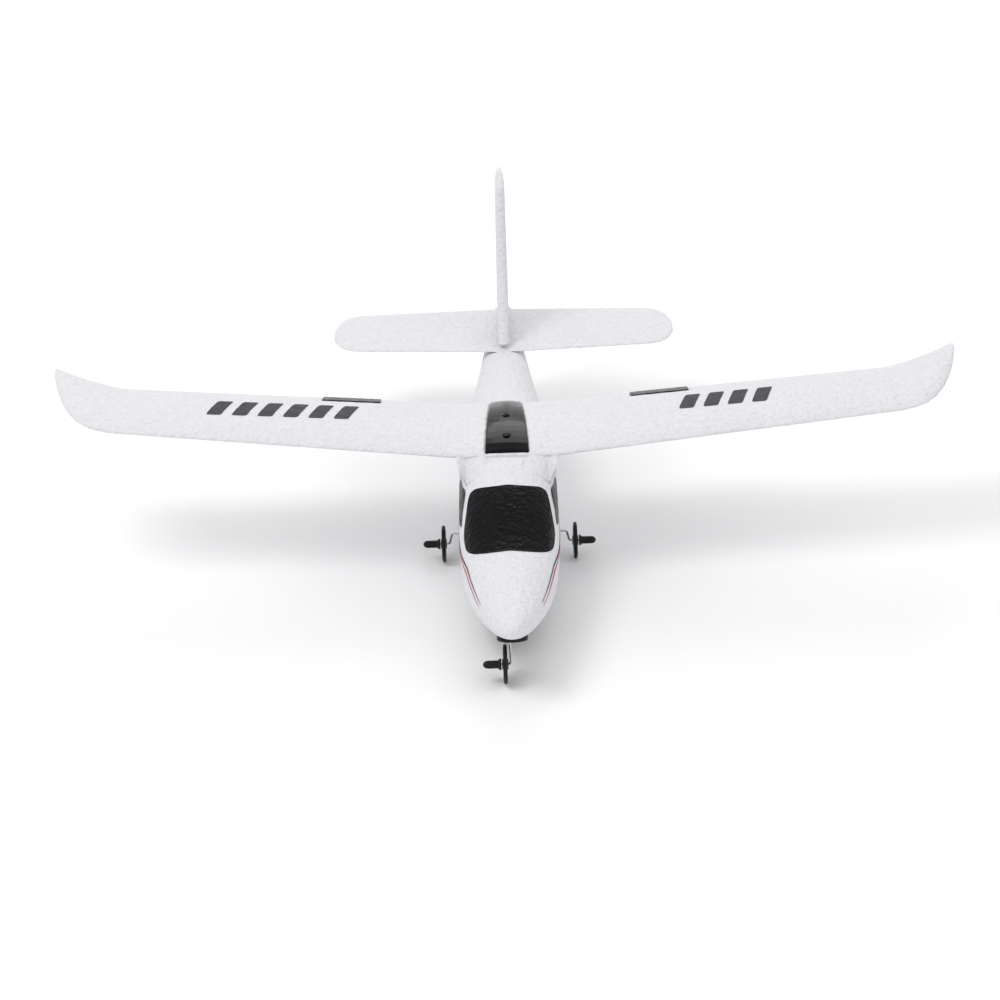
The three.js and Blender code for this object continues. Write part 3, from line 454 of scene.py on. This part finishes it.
def printed_patch(name, outline, place, tree, ray, ink, rings=9, spacing=0.8):
    """A film of ink on a surface: rings inside the outline, each point cast along ray onto it."""
    border = resampled(outline, spacing)
    centre = sum(border, Vector((0.0, 0.0))) / len(border)
    vertices = []
    for ring in range(rings):
        share = 1 - ring / rings
        for point in border:
            vertices.append(landed(place(centre.lerp(point, share)), ray, tree, INK_LIFT))
    vertices.append(landed(place(centre), ray, tree, INK_LIFT))
    count = len(border)
    faces = faces_between(rings, count)
    last = (rings - 1) * count
    faces += [(last + i, last + (i + 1) % count, len(vertices) - 1) for i in range(count)]
    face_along(new_piece(name, vertices, faces, *ink, "airframe"), -ray)


def face_along(piece, out):
    """Turns the film's faces so that they look outwards."""
    mesh = piece.data
    facing = sum(face.normal.dot(out) * face.area for face in mesh.polygons)
    if facing < 0:
        mesh.flip_normals()


def landed(point, ray, tree, lift):
    """Where a ray through the point meets the surface, lifted off it. Nearest place if it misses."""
    start = point - ray * RAY_RUN_UP
    hit, normal, _, _ = tree.ray_cast(start, ray)
    if hit is None:
        hit, normal, _, _ = tree.find_nearest(point)
    if normal.dot(ray) > 0:
        normal = -normal
    return hit + normal * lift


# ---- The foam and its prints ---------------------------------------------------------------------

INK_LIFT = 0.00011
WINDSCREEN = [                  # across and up square to the view, from its target, mm, one half
    (0, -9.9, 0.2), (11.5, -11.0, 0.5), (14.2, -13.0, 0.7), (16.3, -27.0, 0.6), (15.6, -33.2, 0.9),
    (12.4, -34.0, 0.6), (0, -32.8, 0.2),
]
SIDE_WINDOW = [                 # station and height, mm
    (-25, 33.6, 0.5), (-9.5, 41.4, 0.35), (14, 35.4, 0.35), (14, 32.4, 0.5), (-17, 31.8, 0.5),
]
RED_DROP = -1.3
STRIPE_STATIONS = (-75, -62, -46, -28, -8, 14, 36, 60)
STRIPE_HEIGHTS = (28.4, 28.4, 28.2, 27.6, 27.4, 28.2, 30.4, 33.0)
STRIPE_WIDTHS = (0.15, 0.4, 0.55, 0.8, 1.1, 1.2, 1.0, 0.3)
STRIPE_ROWS = 70
STRIPE_LANES = (-1, -0.33, 0.33, 1)     # across, in half widths
BAR_CORNERS = [(0, 23), (5.6, 23), (9.2, 38), (3.6, 38)]       # across and station, mm
BAR_ROUNDNESS = 0.25
BAR_GROUPS = [("right", -111.0, 9.4, 6), ("left", 64.0, 9.0, 4)]   # hand, first X, pitch, count

# The flat outlines stand outside the foam, and rays through their points carry them onto it.
WINDSCREEN_STAND_OFF = 0.06     # from the view target towards the camera, metres
SIDE_STAND_OFF = 22.0           # from the middle plane, mm
TOP_STAND_OFF = 80.0            # above the ground, mm

FAIRING = {"half": 18.6, "roof_half": 15.2, "reach": 10.5, "lip": 2.6}     # mm
FAIRING_ROWS = 9
FAIRING_COLUMNS = 34            # on each side of the middle
FAIRING_SINK = 0.0002           # how deep its top and foot are sunk in the foam, metres
PLAN_POWER = 3.2                # squares its outline, seen from above
SHOULDER_POWER = 0.7            # how fast its foot rises to the wing outside the roof
KNEE_REACH = 0.22               # where its section bends, as a share of its reach
FOOT_UNDER_WING = 0.0022        # below its top, at its two ends, metres
INNER_UNDER_WING = 0.0024
INNER_HEIGHT = 0.041            # of the hidden edge inside the foam, at the middle, metres


def mirrored(half):
    return half + [(-u, v, r) for u, v, r in reversed(half) if u > 0]


def make_windscreen(tree):
    elevation = math.radians(VIEW_ELEVATION)
    ray = Vector((0, math.cos(elevation), -math.sin(elevation)))
    up = Vector((0, math.sin(elevation), math.cos(elevation)))
    back = ray * -WINDSCREEN_STAND_OFF

    def place(point):
        return VIEW_TARGET + back + Vector((point.x * MM, 0, 0)) + up * (point.y * MM)

    outline = closed_curve(mirrored(WINDSCREEN))
    ink = (BLACK_INK, "black_print")
    printed_patch("windscreen_print", outline, place, tree, ray, ink, rings=22, spacing=0.5)


def on_side(side):
    def place(point):
        return Vector((side * SIDE_STAND_OFF, point.x + ROOT_LEADING_Y, point.y)) * MM

    return place


def fairing_rib(x, share, wing_tree, body_tree):
    """A closed section of the fairing, x mm from the middle: from the wing, down to the roof."""
    down = Vector((0, 0, -1))
    roof_half = FAIRING["roof_half"]
    reach = FAIRING["reach"] * math.sqrt(max(0.0, 1 - share ** PLAN_POWER))
    rear = ROOT_LEADING_Y + FAIRING["lip"]
    top = landed(Vector((x, rear, TOP_STAND_OFF)) * MM, down, wing_tree, -FAIRING_SINK)
    roof = Vector((min(abs(x), roof_half), ROOT_LEADING_Y - reach, TOP_STAND_OFF)) * MM
    foot_height = landed(roof, down, body_tree, -FAIRING_SINK).z
    outer = max(0.0, (abs(x) - roof_half) / (FAIRING["half"] - roof_half))
    rise = outer ** SHOULDER_POWER
    edge = (1 - rise) * foot_height + rise * (top.z - FOOT_UNDER_WING)
    foot = Vector((x * MM, (ROOT_LEADING_Y - reach) * MM, edge))
    knee_y = (ROOT_LEADING_Y - reach * KNEE_REACH) * MM
    knee = Vector((x * MM, knee_y, edge + (top.z - edge) * 0.5))
    inner_height = (1 - outer) * INNER_HEIGHT + outer * (top.z - INNER_UNDER_WING)
    inner = Vector((x * MM, rear * MM, inner_height))
    rib = []
    for row in range(FAIRING_ROWS + 1):
        t = row / FAIRING_ROWS
        rib.append(top.lerp(knee, t).lerp(knee.lerp(foot, t), t))
    return rib + [inner]


def make_fairing(wing_tree, body_tree):
    """Foam that fills the corner between the wing's leading edge and the cabin roof."""
    ribs = []
    for column in range(-FAIRING_COLUMNS, FAIRING_COLUMNS + 1):
        share = abs(column) / FAIRING_COLUMNS
        x = column / FAIRING_COLUMNS * FAIRING["half"]
        ribs.append(fairing_rib(x, share, wing_tree, body_tree))
    vertices = [spot for rib in ribs for spot in rib]
    count = len(ribs[0])
    faces = faces_between(len(ribs), count)
    faces.append(tuple(range(count)))
    faces.append(tuple(reversed(range(len(vertices) - count, len(vertices)))))
    piece = new_piece("wing_root_fairing", vertices, faces, FOAM, "white_foam", "airframe")
    shape = bmesh.new()
    shape.from_mesh(piece.data)
    bmesh.ops.recalc_face_normals(shape, faces=shape.faces)
    shape.to_mesh(piece.data)
    shape.free()


def make_side_prints(tree):
    for side, hand in ((1, "left"), (-1, "right")):
        ray = Vector((-side, 0, 0))
        window = closed_curve(SIDE_WINDOW)
        ink = (BLACK_INK, "black_print")
        printed_patch(f"{hand}_window_print", window, on_side(side), tree, ray, ink)
        make_stripe(f"{hand}_dark_stripe", side, 0.0, (DARK_INK, "grey_print"), tree, ray)
        make_stripe(f"{hand}_red_stripe", side, RED_DROP, (RED_INK, "red_print"), tree, ray)


def make_stripe(name, side, drop, ink, tree, ray):
    place = on_side(side)
    vertices = []
    for row in range(STRIPE_ROWS + 1):
        t = row / STRIPE_ROWS * (len(STRIPE_STATIONS) - 1)
        station = along(STRIPE_STATIONS, t)
        height = along(STRIPE_HEIGHTS, t)
        width = along(STRIPE_WIDTHS, t)
        for lane in STRIPE_LANES:
            spot = Vector((station, height + drop + lane * width / 2))
            vertices.append(landed(place(spot), ray, tree, INK_LIFT))
    lanes = len(STRIPE_LANES)
    starts = [lanes * row + lane for row in range(STRIPE_ROWS) for lane in range(lanes - 1)]
    faces = [(a, a + 1, a + lanes + 1, a + lanes) for a in starts]
    face_along(new_piece(name, vertices, faces, *ink, "airframe"), -ray)


def along(values, t):
    """The value at t along a list, straight between its entries."""
    low = min(int(t), len(values) - 2)
    part = t - low
    return values[low] + (values[low + 1] - values[low]) * part


def make_wing_bars(tree):
    """Plain slanted bars on top of each panel, one long group and one short."""
    ray = Vector((0, 0, -1))

    def place(point):
        return Vector((point.x, point.y + ROOT_LEADING_Y, TOP_STAND_OFF)) * MM

    ink = (GREY_INK, "grey_print")
    for hand, start, pitch, count in BAR_GROUPS:
        for i in range(count):
            x = start + i * pitch
            corners = [(x + across, station, BAR_ROUNDNESS) for across, station in BAR_CORNERS]
            outline = closed_curve(corners, 3)
            printed_patch(f"{hand}_wing_bar_{i + 1}", outline, place, tree, ray, ink, rings=5)


# ---- Metal and plastic parts ---------------------------------------------------------------------


def dress(look, *nodes):
    """Gives CAD pieces their finish. Their shapes stay as they are."""
    for node in nodes:
        mesh = frame["nodes"][node].data
        mesh.materials.clear()
        mesh.materials.append(look)


# ---- The scene -----------------------------------------------------------------------------------

make_camera()
FOAM = foam_material()
BLACK_INK = print_material("black_ink", (0.004, 0.004, 0.005), 0.34)
DARK_INK = print_material("dark_ink", (0.03, 0.03, 0.04), 0.45)
GREY_INK = print_material("grey_ink", (0.055, 0.055, 0.06), 0.5)
RED_INK = print_material("red_ink", (0.55, 0.05, 0.09), 0.45)
make_studio()

fuselage = foam_piece("fuselage_moulding", "fuselage_foam", 0.00055, 0.5)
wing = foam_piece("wing_moulding", "wing_foam", 0.0006, 0.5)
foam_piece("tailplane_moulding", "tailplane_foam", 0.0005, 0.5)
foam_piece("fin_moulding", "fin_foam", 0.0005, 0.5)
body_tree = tree_of(fuselage)
make_windscreen(body_tree)
make_side_prints(body_tree)
wing_tree = tree_of(wing)
make_wing_bars(wing_tree)
make_fairing(wing_tree, body_tree)

GLOSS = plastic_material("gloss_black", (0.004, 0.004, 0.005), 0.12, 0.000003, shine=0.12)
MATTE = plastic_material("matte_black", (0.008, 0.008, 0.009), 0.38)
GREY = plastic_material("grey_plastic", (0.022, 0.022, 0.024), 0.34)
WHITE = plastic_material("white_plastic", (0.75, 0.75, 0.74), 0.38, shine=0.5)
RUBBER = plastic_material("wheel_black", (0.007, 0.007, 0.008), 0.42, 0.00002)
STEEL = metal_material("steel_look", (0.62, 0.62, 0.63), 0.26)
BLACKED = metal_material("blacked_steel_look", (0.02, 0.02, 0.022), 0.3)
CAN = metal_material("motor_can_look", (0.55, 0.55, 0.57), 0.28, (1, 9, 1))
BOARD = board_material()
FOIL = foil_material()
SLEEVE = plastic_material("wire_sleeve_look", (0.42, 0.02, 0.02), 0.45)

sides = ("left", "right")
moulded("hold_down_plate", "wing_hold_down_plate", 0.00025, 0.4, GLOSS, 0.00001)
moulded("nose_plate", "nose_gear_plate", 0.00025, 0.5, MATTE, 0.00001, 14)
dress(GREY, *(f"{s}_motor_top_plate" for s in sides), "main_gear_clamp")
dress(MATTE, *(f"{s}_motor_pod" for s in sides), *(f"{s}_propeller" for s in sides))
dress(MATTE, *(f"{s}_wheel_cap" for s in sides), "nose_wheel_cap", "belly_cover", "antenna_wire")
dress(MATTE, "power_switch_body", "charge_socket", "wing_saddle_block")
dress(RUBBER, *(f"{s}_wheel" for s in sides), "nose_wheel")
dress(STEEL, "main_gear_wire", "nose_gear_wire", *(f"{s}_motor_shaft" for s in sides))
dress(BLACKED, "wing_plate_screw_front", "wing_plate_screw_rear")
dress(STEEL, "belly_cover_screw_front", "belly_cover_screw_rear", *(f"{s}_clamp_screw" for s in sides))
dress(STEEL, *(f"{s}_pod_screw_{i}" for s in sides for i in (1, 2)))
dress(CAN, *(f"{s}_motor_can" for s in sides))
dress(WHITE, *(f"{s}_motor_end_cap" for s in sides), "power_switch_slider")
dress(SLEEVE, *(f"{s}_motor_lead" for s in sides))
dress(BOARD, "receiver_board")
dress(FOIL, "battery")
